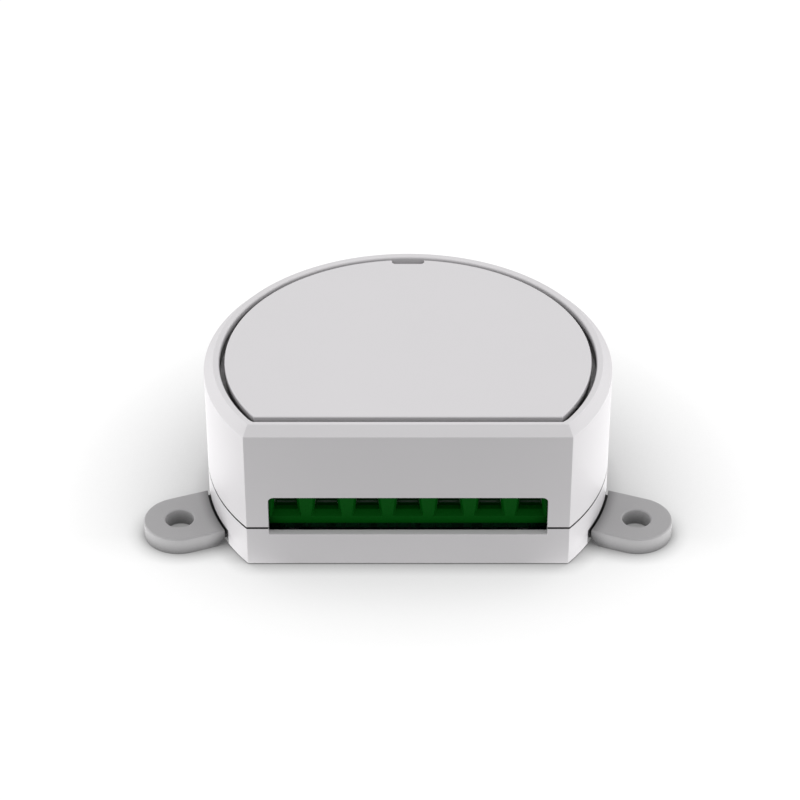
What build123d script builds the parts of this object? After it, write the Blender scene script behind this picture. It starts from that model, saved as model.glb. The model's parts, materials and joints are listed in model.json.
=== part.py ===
from build123d import *
import math
import os

# A wireless dimmer module: a D-shaped casing in two halves, with a lid let into its rim,
# a seven-pole terminal block behind a slot in the flat front, and two screw ears.
# Millimetres. The origin is on the axis of the round wall, on the underside.
# The flat front faces -Y, the casing stands up along +Z.

# Casing
body_radius = 25.3
front_distance = 15.84
body_height = 20.3
rim_chamfer = 1.15
seam_height = 5.48
seam_line_height = 0.2
seam_line_depth = 0.3
foot_bevel = 0.2
side_wall = 1.5
front_wall = 1.05
floor_thickness = 1.5
deck_thickness = 1.2
recess_depth = 2.2
rim_width = 1.95
front_rim_width = 1.64
lip_thickness = 0.65
lip_height = 1.2
lip_clearance = 0.1
lip_setback = 4.5
seam_gap = 0.02

# Wire slot in the front
slot_overlap = 0.47
slot_top = 10.14
slot_corner = 0.7
sill_drop = 0.89

# Window in the deck over the terminal screws
window_margin = 0.3
window_corner = 0.5

# Lid
lid_side_gap = 0.65
lid_front_gap = 1.05
lid_thickness = 1.4
lid_edge_bevel = 0.12
lid_rib_width = 0.7
lid_rib_setback = 0.15
lid_seat_gap = 0.05
notch_width = 4.2
notch_depth = 1.04
notch_corner = 0.32
leg_width = 4.0
leg_thickness = 1.0
leg_inset = 2.1
leg_reach = 1.4
shoulder_reach = 1.2
leg_angles = (-15, 62, 118, 195)
snap_nose = 0.3
snap_nose_height = 1.2
leg_clearance = 0.15

# Ears
ear_hole_spacing = 57.0
ear_hole_forward = 9.35
ear_hole_radius = 1.8
ear_tip_radius = 4.45
ear_thickness = 2.2
ear_slant = 21.5
ear_gap = 0.3
ear_undercut = 1.0
ear_edge = 0.15
hole_edge = 0.12
tongue_inset = 0.2
tongue_thickness = 0.6
tongue_depth = 3.4
tongue_height = 0.9
tongue_clearance = 0.06
latch_radius = 0.9
latch_depth = 1.7
socket_skin = 0.9

# Case screws
boss_angles = (40, 140)
boss_radius = 2.6
boss_wall_gap = 0.9
boss_meeting = 6.0
case_screw_radius = 1.0
case_head_radius = 1.9
case_head_height = 1.3
case_head_depth = 1.9
case_screw_bite = 5.0
case_screw_run_out = 1.0
cross_width = 0.5
cross_length = 3.0
cross_depth = 0.8

# Main board
board_thickness = 1.6
board_height = 3.2
board_gap = 0.6
board_front = 12.6
peg_radius = 0.7
peg_post_radius = 1.4
peg_reach = 1.2
peg_clearance = 0.08
peg_edge = 3.2
back_peg_angle = 90
front_peg_edge = 1.9
boss_notch_gap = 0.4

# Terminal block
pole_count = 7
pole_spacing = 5.0
block_recess = 2.05
block_depth = 8.2
block_headroom = 0.5
block_top_bevel = 1.0
entry_floor = 1.6
entry_share = 10 / 21
entry_half_width = 1.5
funnel_depth = 0.8
mouth_drop = 0.6
mouth_rise = 0.5
mouth_bottom_half = 1.9
mouth_lean = 0.112
chamber_front = 1.6
chamber_width = 3.6
chamber_depth = 4.2
chamber_floor = 0.7
shoulder_thickness = 0.6

# Terminal screws, rising clamps and contact strips
screw_head_radius = 1.8
screw_head_height = 1.6
screw_head_sink = 0.4
screw_head_clearance = 0.15
screw_seat_gap = 0.03
screw_radius = 1.25
screw_clearance = 0.05
screw_slot_width = 0.6
screw_slot_depth = 0.8
thread_pitch = 0.45
clamp_clearance = 0.15
clamp_side_thickness = 0.35
clamp_bottom = 0.7
clamp_top = 1.1
clamp_window_margin = 0.7
clamp_floor_gap = 0.07
clamp_rest_gap = 0.1
strip_width = 2.0
strip_thickness = 0.4
strip_gap = 0.1
strip_back = 6.6
pin_width = 1.0
pin_reach = 1.0
pin_clearance = 0.1

# Control board, carried above the main board
control_headroom = 2.9
control_thickness = 1.0
control_half_width = 15.3
control_back = 14.0
control_front_gap = 0.6
pillar_radius = 1.4
pillar_pin_radius = 0.6
front_pillar_x = -7.9
front_pillar_gap = 1.7
back_pillar_place = (-10.6, 10.0)
header_place = (13.75, 6.7)
header_width = 2.4
header_height = 2.0
header_pins = 5
header_pin_spacing = 1.27
header_pin_width = 0.5

# Pairing button, its switch, the status light and its light pipe
button_place = (9.0, 4.0)
button_radius = 1.6
button_clearance = 0.1
button_flange_radius = 2.4
button_flange_height = 0.6
button_rest_gap = 0.25
button_travel = 0.3
button_sink = 0.2
button_edge = 0.2
switch_width = 4.5
switch_height = 1.5
plunger_radius = 1.0
plunger_clearance = 0.08
plunger_depth = 0.5
light_place = (9.0, 10.5)
light_width = 2.0
light_depth = 1.4
light_height = 0.8
pipe_radius = 1.0
pipe_clearance = 0.04
pipe_flange_width = 3.0
pipe_flange_height = 0.6
pipe_light_gap = 0.2

# Radio and control parts on the control board
radio_place = (-8.0, 5.0)
radio_width = 10.0
radio_length = 14.0
radio_thickness = 0.8
shield_length = 9.5
shield_margin = 0.5
shield_height = 1.8
shield_skin = 0.2
antenna_length = 7.0
antenna_width = 2.0
antenna_height = 0.8
antenna_margin = 0.5
control_chip_place = (2.5, 1.5)
control_chip_width = 5.0
control_chip_height = 0.9
crystal_place = (2.5, 8.0)
crystal_length = 3.2
crystal_width = 2.5
crystal_height = 0.8

# Power parts on the main board
can_radius = 3.15
can_headroom = 0.5
can_base_height = 1.0
can_edge = 0.7
can_base_corner = 1.05
can_spacing = 7.2
can_forward = 0.5
choke_place = (-15.6, 7.0)
choke_radius = 3.1
choke_headroom = 0.8
choke_flange = 1.2
choke_post_radius = 1.6
choke_wire_inset = 0.3
transformer_place = (-3.0, 4.5)
core_width = 11.0
core_depth = 4.5
core_headroom = 0.4
core_yoke = 1.2
core_centre_width = 4.0
core_side_leg = 1.4
bobbin_wall = 0.5
bobbin_flange = 0.4
bobbin_reach = 2.2
coil_margin = 0.2
coil_corner = 0.8
part_clearance = 0.05
filter_capacitor_place = (-3.0, 14.6)
filter_capacitor_width = 13.0
filter_capacitor_depth = 5.0
filter_capacitor_headroom = 0.6
varistor_place = (7.6, 15.6)
varistor_thickness = 3.2
varistor_lift = 0.5
varistor_headroom = 0.9
varistor_edge = 0.8
lead_radius = 0.3
lead_inset = 0.9
fuse_place = (8.5, 7.4)
fuse_radius = 3.9
fuse_headroom = 0.8
transistor_places = ((8.6, -0.8), (16.4, -0.8))
transistor_width = 6.5
transistor_depth = 6.1
transistor_height = 2.3
pad_thickness = 0.5
spreader_thickness = 2.4
fin_count = 5
fin_gap = 1.2
fin_depth = 1.4
bridge_place = (18.0, 6.6)
bridge_width = 4.0
bridge_depth = 5.0
bridge_height = 1.6
front_chip_gap = 2.7
converter_x = -3.0
converter_width = 5.0
converter_depth = 3.6
converter_height = 1.5
optocoupler_x = 2.3
optocoupler_width = 3.6
optocoupler_depth = 3.6
optocoupler_height = 2.1
moulding_edge = 0.4
chip_edge = 0.15

# Worked out from the sizes above
inner_radius = body_radius - side_wall
inner_front = front_distance - front_wall
recess_radius = body_radius - rim_width
recess_front = front_distance - front_rim_width
deck_top = body_height - recess_depth
deck_under = deck_top - deck_thickness
lip_radius = inner_radius + lip_thickness
block_width = pole_count * pole_spacing
block_front = front_distance - block_recess
block_back = block_front - block_depth
slot_half_width = block_width / 2 - slot_overlap
lip_front = inner_front - lip_setback
lid_radius = recess_radius - lid_side_gap
lid_front = recess_front - lid_front_gap
lid_under = body_height - lid_thickness
leg_ring = lid_radius - leg_inset
leg_bottom = deck_under - leg_reach
boss_ring = inner_radius - boss_radius - boss_wall_gap
tongue_width = 2 * (ear_tip_radius - tongue_inset)
board_radius = inner_radius - board_gap
board_top = board_height + board_thickness
block_top = deck_under - block_headroom
screw_place_y = -block_front + chamber_front + chamber_depth / 2
screw_head_top = block_top - screw_head_sink
screw_head_under = screw_head_top - screw_head_height
shoulder_top = screw_head_under - screw_seat_gap
chamber_top = shoulder_top - shoulder_thickness
clamp_low = board_top + chamber_floor + clamp_floor_gap
clamp_space = chamber_top - clamp_rest_gap - clamp_top - clamp_low - clamp_bottom
entry_height = entry_share * clamp_space
entry_top = entry_floor + entry_height
clamp_window = entry_height + clamp_window_margin
clamp_travel = clamp_space - clamp_window
clamp_roof = clamp_low + clamp_bottom + clamp_window
strip_top = clamp_roof - strip_gap
strip_low = strip_top - strip_thickness
strip_back_y = -block_front + strip_back
control_top = deck_under - control_headroom
control_low = control_top - control_thickness
power_room = control_low - board_top
front_chip_y = front_chip_gap - block_back
converter_place = (converter_x, front_chip_y)
optocoupler_place = (optocoupler_x, front_chip_y)
pillar_places = ((front_pillar_x, front_pillar_gap - block_back), back_pillar_place)
varistor_radius = (power_room - varistor_lift - varistor_headroom) / 2
plunger_top = deck_under - button_rest_gap - button_flange_height
switch_top = control_top + switch_height
pole_places = [pole_spacing * (pole - (pole_count - 1) / 2) for pole in range(pole_count)]


def block(width, depth, low, high, place=(0, 0)):
    """A box between two heights, centred on a place."""
    return Pos(place[0], place[1], (low + high) / 2) * Box(width, depth, high - low)


def rod(radius, low, high, place=(0, 0)):
    """A round bar between two heights."""
    return Pos(place[0], place[1], (low + high) / 2) * Cylinder(radius, high - low)


def polar(ring, angle):
    """The point at an angle on a ring round the casing's axis."""
    return (ring * math.cos(math.radians(angle)), ring * math.sin(math.radians(angle)))


def d_shape(radius, front, low, high):
    """A round plate with a flat front, between two heights."""
    cutter = Pos(0, -(front + radius)) * Rectangle(4 * radius, 2 * radius)
    return extrude(Pos(0, 0, low) * (Circle(radius) - cutter), amount=high - low)


def edges_at(part, height):
    """The edges that lie flat at one height."""
    return part.edges().filter_by_position(Axis.Z, height - 0.001, height + 0.001)


def wire_slot():
    """The cutter for the slot in the front, open at the bottom, with rounded upper corners."""
    low = seam_height - 2 * sill_drop
    face = Rectangle(2 * slot_half_width, slot_top - low)
    upper = face.vertices().group_by(Axis.Y)[-1]
    face = fillet(upper, slot_corner)
    depth = 2 * front_wall
    start = Plane(origin=(0, -front_distance + depth, (slot_top + low) / 2), z_dir=(0, -1, 0),
                  x_dir=(1, 0, 0))
    return extrude(start * face, amount=2 * depth)


def screw_window():
    """The cutter for the window in the deck that the screwdriver goes through."""
    reach = screw_head_radius + window_margin
    width = 2 * (pole_places[-1] + reach)
    window = block(width, 2 * reach, deck_under, deck_top, (0, screw_place_y))
    return fillet(window.edges().filter_by(Axis.Z), window_corner)


def leg_profile(clearance, low, high):
    """A lid leg, or with a clearance the hole that it drops through."""
    legs = []
    outward = (leg_thickness / 2 + snap_nose) if clearance else leg_thickness / 2
    inner = leg_ring - leg_thickness / 2 - clearance
    outer = leg_ring + outward + clearance
    for angle in leg_angles:
        leg = block(outer - inner, leg_width + 2 * clearance, low, high, ((inner + outer) / 2, 0))
        legs.append(Rot(0, 0, angle) * leg)
    return legs


def snap_noses():
    """The wedge on the outside of each leg that holds the lid under the deck's edge."""
    foot = leg_ring + leg_thickness / 2
    low = leg_bottom
    outline = Polyline((foot, low), (foot + snap_nose, low + snap_nose_height / 2),
                       (foot, low + snap_nose_height), close=True)
    face = make_face(Plane.XZ * outline)
    wedge = extrude(face, amount=leg_width / 2, both=True)
    return [Rot(0, 0, angle) * wedge for angle in leg_angles]


def upper_housing():
    """The upper half: chamfered rim, lid recess, deck, slot, screw bosses and parting line."""
    line_top = seam_height + seam_line_height
    shell = d_shape(body_radius, front_distance, line_top, body_height)
    shell = chamfer(edges_at(shell, body_height), rim_chamfer)
    shell += d_shape(body_radius - seam_line_depth, front_distance - seam_line_depth, seam_height,
                     line_top)
    shell -= d_shape(inner_radius, inner_front, seam_height, deck_under)
    shell -= d_shape(recess_radius, recess_front, deck_top, body_height)
    shell -= d_shape(lip_radius + lip_clearance, lip_front + lip_clearance, seam_height,
                     seam_height + lip_height + lip_clearance)
    for angle in boss_angles:
        place = polar(boss_ring, angle)
        shell += rod(boss_radius, boss_meeting + seam_gap, deck_under, place)
        shell -= rod(case_screw_radius + seam_gap, boss_meeting + seam_gap,
                     boss_meeting + case_screw_bite + case_screw_run_out, place)
    cutters = [wire_slot(), screw_window()]
    cutters.append(rod(button_radius + button_clearance, deck_under, deck_top, button_place))
    cutters.append(rod(pipe_radius + pipe_clearance, deck_under, deck_top, light_place))
    cutters += leg_profile(leg_clearance, deck_under, deck_top)
    return shell - cutters


def ear_frame(side):
    """The place of an ear's hole, with X pointing outward along the ear."""
    turn = -ear_slant if side > 0 else 180 + ear_slant
    return Pos(side * ear_hole_spacing / 2, -ear_hole_forward, 0) * Rot(0, 0, turn)


def ear_root_x():
    """Where the ear's middle line meets the round wall, in the ear's own frame."""
    turn = math.radians(ear_slant)
    x, y = ear_hole_spacing / 2, ear_hole_forward
    along = x * math.cos(turn) + y * math.sin(turn)
    across = -x * math.sin(turn) + y * math.cos(turn)
    return math.sqrt(body_radius ** 2 - across ** 2) - along


def tongue(side, clearance):
    """The flat tongue across an ear's root, or with a clearance its socket."""
    root = ear_root_x()
    inner = root - tongue_depth - clearance
    outer = root + ear_gap + ear_undercut
    low = tongue_height - clearance
    high = tongue_height + tongue_thickness + clearance
    bar = block(outer - inner, tongue_width + 2 * clearance, low, high, ((inner + outer) / 2, 0))
    return ear_frame(side) * bar


def latch(side, clearance, low, high):
    """The round nub in the socket that holds the tongue, or the hole for it."""
    place = (ear_root_x() - latch_depth, 0)
    return ear_frame(side) * rod(latch_radius + clearance, low, high, place)


def base_shell():
    """The lower half: tray, low front sill, alignment lip, board pegs and ear sockets."""
    shell = d_shape(body_radius, front_distance, 0, seam_height - seam_gap)
    shell = chamfer(edges_at(shell, 0), foot_bevel)
    shell -= d_shape(inner_radius, inner_front, floor_thickness, seam_height)
    lip = d_shape(lip_radius, lip_front, floor_thickness, seam_height + lip_height)
    shell += lip - rod(inner_radius, floor_thickness, seam_height + lip_height)
    sill = seam_height - sill_drop
    shell -= Pos(0, -front_distance, sill + sill_drop) * Box(2 * slot_half_width, 4 * front_wall,
                                                            2 * sill_drop)
    inside = d_shape(inner_radius + side_wall / 2, inner_front, 0, board_height)
    for side in (-1, 1):
        root = ear_root_x()
        pad_high = tongue_height + tongue_thickness + tongue_clearance + socket_skin
        pad_length = tongue_depth + socket_skin
        pad = block(pad_length, tongue_width + 2 * socket_skin, 0, pad_high,
                    (root - pad_length / 2, 0))
        shell += (ear_frame(side) * pad) & inside
        shell -= tongue(side, tongue_clearance)
        shell += latch(side, 0, tongue_height - tongue_clearance, tongue_height
                       + tongue_thickness / 2)
    for place in peg_places():
        shell += rod(peg_post_radius, floor_thickness, board_height, place)
        shell += rod(peg_radius, board_height, board_height + peg_reach, place)
    for angle in boss_angles:
        place = polar(boss_ring, angle)
        shell += rod(boss_radius, 0, boss_meeting, place)
        shell -= rod(case_head_radius + screw_head_clearance, 0, case_head_depth, place)
        shell -= rod(case_screw_radius + screw_head_clearance, case_head_depth, boss_meeting, place)
    return shell


def peg_places():
    """The posts that carry the main board."""
    places = [polar(board_radius - peg_edge, back_peg_angle)]
    for x in (pole_places[0], pole_places[-1]):
        places.append((x, front_peg_edge - board_front))
    return places


def ear(side):
    """A screw ear: rounded tab, straight hole, undercut root and the tongue that holds it."""
    reach = ear_root_x()
    outline = Circle(ear_tip_radius) + Pos(reach, 0) * Rectangle(-2 * reach, 2 * ear_tip_radius)
    tab = extrude(outline, amount=ear_thickness)
    tab = chamfer(edges_at(tab, ear_thickness), ear_edge)
    tab = ear_frame(side) * tab
    root_radius = body_radius + ear_gap
    tab -= rod(root_radius, 0, ear_thickness)
    slope = Cone(root_radius + ear_undercut, root_radius, ear_undercut)
    tab -= Pos(0, 0, ear_undercut / 2) * slope
    tab += tongue(side, 0)
    tab -= latch(side, tongue_clearance, 0, ear_thickness)
    hole = rod(ear_hole_radius, 0, ear_thickness)
    mouth = Pos(0, 0, ear_thickness - hole_edge / 2) * Cone(ear_hole_radius,
                                                           ear_hole_radius + hole_edge, hole_edge)
    tab -= ear_frame(side) * (hole + mouth)
    return tab.solids().sort_by(SortBy.VOLUME)[-1]


def lid():
    """The D-shaped lid: flat plate with a pry notch, a front rib and four snap legs."""
    plate = d_shape(lid_radius, lid_front, lid_under, body_height)
    plate = chamfer(edges_at(plate, body_height), lid_edge_bevel)
    inner = lid_radius - notch_depth
    half = notch_width / 2
    outer = lid_radius + notch_corner
    outline = Polyline((-half, outer), (-half, inner + notch_corner),
                       (-half + notch_corner, inner), (half - notch_corner, inner),
                       (half, inner + notch_corner), (half, outer), close=True)
    plate -= extrude(Pos(0, 0, lid_under) * make_face(outline), amount=lid_thickness)
    seat = deck_top + lid_seat_gap
    rib_y = lid_rib_setback + lid_rib_width / 2 - lid_front
    plate += block(2 * pole_places[-1], lid_rib_width, seat, lid_under, (0, rib_y))
    shoulder = block(leg_thickness, leg_width + 2 * shoulder_reach, seat, lid_under, (leg_ring, 0))
    for angle in leg_angles:
        plate += Rot(0, 0, angle) * shoulder
    for leg in leg_profile(0, leg_bottom, lid_under):
        plate += leg
    for nose in snap_noses():
        plate += nose
    return plate


def case_screws():
    """Two self-tapping screws that come up from below and hold the halves together."""
    screws = []
    for angle in boss_angles:
        low = case_head_depth - case_head_height - screw_seat_gap
        high = case_head_depth - screw_seat_gap
        screw = rod(case_head_radius, low, high)
        screw += rod(case_screw_radius, high, boss_meeting + case_screw_bite)
        screw -= block(cross_length, cross_width, low, low + cross_depth)
        screw -= block(cross_width, cross_length, low, low + cross_depth)
        x, y = polar(boss_ring, angle)
        screws.append(Pos(x, y, 0) * screw)
    return Compound(screws)


def main_board():
    """The D-shaped circuit board, with notches round the screw bosses and holes for pins."""
    board = d_shape(board_radius, board_front, board_height, board_top)
    cutters = []
    for angle in boss_angles:
        place = polar(boss_ring, angle)
        cutters.append(rod(boss_radius + boss_notch_gap, board_height, board_top, place))
    for place in peg_places():
        cutters.append(rod(peg_radius + peg_clearance, board_height, board_top, place))
    for x in pole_places:
        place = (x, strip_back_y - strip_thickness / 2)
        cutters.append(block(pin_width + 2 * pin_clearance, strip_thickness + 2 * pin_clearance,
                             board_height, board_top, place))
    for place in pillar_places:
        cutters.append(rod(pillar_pin_radius + peg_clearance, board_height, board_top, place))
    hole = header_pin_width + 2 * pin_clearance
    for place in header_pin_places():
        cutters.append(block(hole, hole, board_height, board_top, place))
    return board - cutters


def entry_corners(x, y, half_width, low, high):
    """One wire entry's corners at a depth, a little narrower at its top than at its floor."""
    top_half = half_width - mouth_lean * (high - low)
    return [(x - half_width, y, low), (x + half_width, y, low),
            (x + top_half, y, high), (x - top_half, y, high)]


def flat_sided(front, back):
    """The flat-sided solid between two outlines whose matching sides are parallel."""
    outlines = [front, back]
    for first in range(len(front)):
        last = (first + 1) % len(front)
        outlines.append([front[first], front[last], back[last], back[first]])
    faces = [make_face(Polyline(*outline, close=True)) for outline in outlines]
    return Solid(Shell(faces))


def wire_entry(x):
    """The flared mouth of one wire entry and the straight run behind it."""
    floor = board_top + entry_floor
    roof = board_top + entry_top
    mouth = entry_corners(x, -block_front, mouth_bottom_half, floor - mouth_drop,
                          roof + mouth_rise)
    throat = entry_corners(x, funnel_depth - block_front, entry_half_width, floor, roof)
    inside = entry_corners(x, chamber_front - block_front, entry_half_width, floor, roof)
    return [flat_sided(mouth, throat), flat_sided(throat, inside)]


def terminal_housing():
    """The green block: flared wire entries, clamp chambers, screw wells and strip channels."""
    middle_y = -block_front + block_depth / 2
    body = block(block_width, block_depth, board_top, block_top, (0, middle_y))
    front_top = body.edges().filter_by(Axis.X).group_by(Axis.Z)[-1].sort_by(Axis.Y)[0]
    body = chamfer(front_top, block_top_bevel)
    chamber_back_y = chamber_front + chamber_depth - block_front
    cutters = []
    for x in pole_places:
        cutters += wire_entry(x)
        cutters.append(block(chamber_width, chamber_depth, board_top + chamber_floor, chamber_top,
                             (x, screw_place_y)))
        cutters.append(rod(screw_radius + 2 * screw_clearance, chamber_top, shoulder_top,
                           (x, screw_place_y)))
        cutters.append(rod(screw_head_radius + screw_head_clearance, shoulder_top, block_top,
                           (x, screw_place_y)))
        channel_width = strip_width + 2 * strip_gap
        channel_back = strip_back_y + strip_gap
        cutters.append(block(channel_width, channel_back - chamber_back_y, strip_low - strip_gap,
                             strip_top + strip_gap, (x, (channel_back + chamber_back_y) / 2)))
        cutters.append(block(channel_width, strip_thickness + 2 * strip_gap, board_top,
                             strip_top + strip_gap, (x, strip_back_y - strip_thickness / 2)))
    return body - cutters


def contact_strips():
    """Seven bent strips: each lies over the wire and goes down through the board as a pin."""
    strips = []
    front_y = -block_front + chamber_front + strip_gap
    for x in pole_places:
        flat = block(strip_width, strip_back_y - front_y, strip_low, strip_top,
                     (x, (strip_back_y + front_y) / 2))
        leg_place = (x, strip_back_y - strip_thickness / 2)
        leg = block(strip_width, strip_thickness, board_top + strip_gap, strip_low, leg_place)
        pin = block(pin_width, strip_thickness, board_height - pin_reach, board_top + strip_gap,
                    leg_place)
        strips.append((flat + leg + pin).solids()[0])
    return Compound(strips)


def terminal_screw(x):
    """A slotted clamping screw that turns in place in its well."""
    screw = rod(screw_head_radius, screw_head_under, screw_head_top)
    screw += rod(screw_radius, strip_top + strip_gap, screw_head_under)
    screw -= block(3 * screw_head_radius, screw_slot_width, screw_head_top - screw_slot_depth,
                   screw_head_top)
    return Pos(x, screw_place_y, 0) * screw


def wire_clamp(x):
    """A rising cage: the screw draws it up and it presses the wire against the strip."""
    width = chamber_width - 2 * clamp_clearance
    depth = chamber_depth - 2 * clamp_clearance
    top = clamp_roof + clamp_top
    cage = block(width, depth, clamp_low, top)
    cage -= block(width - 2 * clamp_side_thickness, depth, clamp_low + clamp_bottom, clamp_roof)
    cage -= rod(screw_radius + screw_clearance, clamp_roof, top)
    return Pos(x, screw_place_y, 0) * cage


def control_board():
    """The upper board with the radio, the switch and the status light."""
    front = block_back - control_front_gap
    depth = control_back + front
    board = block(2 * control_half_width, depth, control_low, control_top,
                  (0, (control_back - front) / 2))
    cutters = []
    for angle in boss_angles:
        place = polar(boss_ring, angle)
        cutters.append(rod(boss_radius + boss_notch_gap, control_low, control_top, place))
    for place in pillar_places:
        cutters.append(rod(pillar_pin_radius + peg_clearance, control_low, control_top, place))
    hole = header_pin_width + 2 * pin_clearance
    for place in header_pin_places():
        cutters.append(block(hole, hole, control_low, control_top, place))
    return board - cutters


def board_pillars():
    """Two six-sided plastic pillars between the boards, with a pin at each end."""
    pillars = []
    for place in pillar_places:
        start = Pos(place[0], place[1], board_top)
        pillar = extrude(start * RegularPolygon(pillar_radius, 6), amount=power_room)
        pillar += rod(pillar_pin_radius, board_height, control_top, place)
        pillars.append(pillar)
    return Compound([pillar.solids()[0] for pillar in pillars])


def header_pin_places():
    """The pins that join the two boards, in a row along Y."""
    x, y = header_place
    middle = (header_pins - 1) / 2
    return [(x, y + header_pin_spacing * (pin - middle)) for pin in range(header_pins)]


def board_header():
    """The plastic strip that holds the header's pins."""
    length = header_pins * header_pin_spacing
    strip = block(header_width, length, board_top, board_top + header_height, header_place)
    hole = header_pin_width + part_clearance
    cutters = [block(hole, hole, board_top, board_top + header_height, place)
               for place in header_pin_places()]
    return strip - cutters


def header_pin_row():
    """The square pins through the header and both boards."""
    pins = [block(header_pin_width, header_pin_width, board_height - pin_reach,
                  control_top + pin_reach, place) for place in header_pin_places()]
    return Compound([pin.solids()[0] for pin in pins])


def chip(place, width, depth, height, low):
    """A moulded component body that lies on a board."""
    body = block(width, depth, low, low + height, place)
    return chamfer(edges_at(body, low + height), chip_edge)


def radio_board():
    return block(radio_width, radio_length, control_top, control_top + radio_thickness, radio_place)


def radio_shield():
    """The pressed metal can over the radio, open below."""
    low = control_top + radio_thickness
    width = radio_width - 2 * shield_margin
    place = (radio_place[0], radio_place[1] - radio_length / 2 + shield_margin + shield_length / 2)
    can = block(width, shield_length, low, low + shield_height, place)
    can = fillet(can.edges().filter_by(Axis.Z), moulding_edge)
    can -= block(width - 2 * shield_skin, shield_length - 2 * shield_skin, low,
                 low + shield_height - shield_skin, place)
    return can


def antenna():
    """The ceramic antenna at the end of the radio board."""
    low = control_top + radio_thickness
    y = radio_place[1] + radio_length / 2 - antenna_margin - antenna_width / 2
    return chip((radio_place[0], y), antenna_length, antenna_width, antenna_height, low)


def pairing_switch():
    """The push switch's body, with the well that its plunger moves in."""
    body = chip(button_place, switch_width, switch_width, switch_height, control_top)
    well_floor = switch_top - plunger_depth - button_travel - plunger_clearance
    return body - rod(plunger_radius + plunger_clearance, well_floor, switch_top, button_place)


def switch_plunger():
    return rod(plunger_radius, switch_top - plunger_depth, plunger_top, button_place)


def pairing_button():
    """The button: a stem through the deck, with a flange below it that keeps it in."""
    cap = rod(button_radius, plunger_top, deck_top - button_sink, button_place)
    cap = chamfer(edges_at(cap, deck_top - button_sink), button_edge)
    return cap + rod(button_flange_radius, plunger_top, plunger_top + button_flange_height,
                     button_place)


def status_light():
    return chip(light_place, light_width, light_depth, light_height, control_top)


def light_pipe():
    """The clear rod from the status light to the deck, with a square flange under it."""
    pipe = rod(pipe_radius, control_top + light_height + pipe_light_gap, deck_top, light_place)
    return pipe + block(pipe_flange_width, pipe_flange_width, deck_under - pipe_flange_height,
                        deck_under, light_place)


def bulk_capacitors():
    """Two aluminium cans on square bases."""
    cans = []
    first_x = -(board_radius - can_edge - can_radius)
    for number in range(2):
        place = (first_x + number * can_spacing, can_forward)
        base = block(2 * can_radius, 2 * can_radius, board_top, board_top + can_base_height, place)
        base = chamfer(base.edges().filter_by(Axis.Z).group_by(Axis.Y)[-1], can_base_corner)
        can_top = control_low - can_headroom
        can = rod(can_radius, board_top + can_base_height, can_top, place)
        can = chamfer(edges_at(can, can_top), moulding_edge)
        cans.append((base + can).solids()[0])
    return Compound(cans)


def choke_core():
    """The ferrite drum of the filter choke."""
    top = control_low - choke_headroom
    core = rod(choke_radius, board_top, board_top + choke_flange, choke_place)
    core += rod(choke_post_radius, board_top, top, choke_place)
    return core + rod(choke_radius, top - choke_flange, top, choke_place)


def choke_winding():
    """The copper winding between the drum's flanges."""
    low = board_top + choke_flange
    high = control_low - choke_headroom - choke_flange
    coil = rod(choke_radius - choke_wire_inset, low, high, choke_place)
    return coil - rod(choke_post_radius + part_clearance / 2, low, high, choke_place)


def transformer_core():
    """The ferrite frame with its middle leg."""
    top = control_low - core_headroom
    core = block(core_width, core_depth, board_top, top, transformer_place)
    window = (core_width - core_centre_width) / 2 - core_side_leg
    offset = core_centre_width / 2 + window / 2
    for side in (-1, 1):
        place = (transformer_place[0] + side * offset, transformer_place[1])
        core -= block(window, core_depth, board_top + core_yoke, top - core_yoke, place)
    return core


def bobbin_spans():
    """The heights and half sizes that the bobbin and the winding share."""
    low = board_top + core_yoke + part_clearance
    high = control_low - core_headroom - core_yoke - part_clearance
    inner = (core_centre_width / 2 + part_clearance, core_depth / 2 + part_clearance)
    tube = (inner[0] + bobbin_wall, inner[1] + bobbin_wall)
    flange_x = core_width / 2 - core_side_leg - part_clearance
    flange = (flange_x, core_depth / 2 + bobbin_reach)
    return low, high, inner, tube, flange


def transformer_bobbin():
    """The plastic former round the middle leg."""
    low, high, inner, tube, flange = bobbin_spans()
    former = block(2 * tube[0], 2 * tube[1], low, high, transformer_place)
    for bottom in (low, high - bobbin_flange):
        former += block(2 * flange[0], 2 * flange[1], bottom, bottom + bobbin_flange,
                        transformer_place)
    return former - block(2 * inner[0], 2 * inner[1], low, high, transformer_place)


def transformer_winding():
    """The taped winding on the bobbin."""
    low, high, inner, tube, flange = bobbin_spans()
    low += bobbin_flange
    high -= bobbin_flange
    coil = block(2 * (flange[0] - coil_margin), 2 * (flange[1] - coil_margin), low, high,
                 transformer_place)
    coil = fillet(coil.edges().filter_by(Axis.Z), coil_corner)
    bore_x = tube[0] + part_clearance / 2
    bore_y = tube[1] + part_clearance / 2
    return coil - block(2 * bore_x, 2 * bore_y, low, high, transformer_place)


def filter_capacitor():
    """The boxed film capacitor."""
    top = control_low - filter_capacitor_headroom
    box = block(filter_capacitor_width, filter_capacitor_depth, board_top, top,
                filter_capacitor_place)
    return chamfer(edges_at(box, top) + box.edges().filter_by(Axis.Z), moulding_edge)


def varistor_lead_places():
    x, y = varistor_place
    reach = varistor_radius - lead_inset
    return [(x - reach, y), (x + reach, y)]


def varistor():
    """The surge-absorbing disc, standing on its two leads."""
    x, y = varistor_place
    centre = board_top + varistor_lift + varistor_radius
    disc = Cylinder(varistor_radius, varistor_thickness)
    disc = chamfer(disc.edges().filter_by(GeomType.CIRCLE), varistor_edge)
    disc = Pos(x, y, centre) * Rot(90, 0, 0) * disc
    for place in varistor_lead_places():
        disc += rod(lead_radius, board_top, centre, place)
    return disc


def mains_fuse():
    """The round moulded fuse."""
    top = control_low - fuse_headroom
    fuse = rod(fuse_radius, board_top, top, fuse_place)
    return chamfer(edges_at(fuse, top), moulding_edge)


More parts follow.
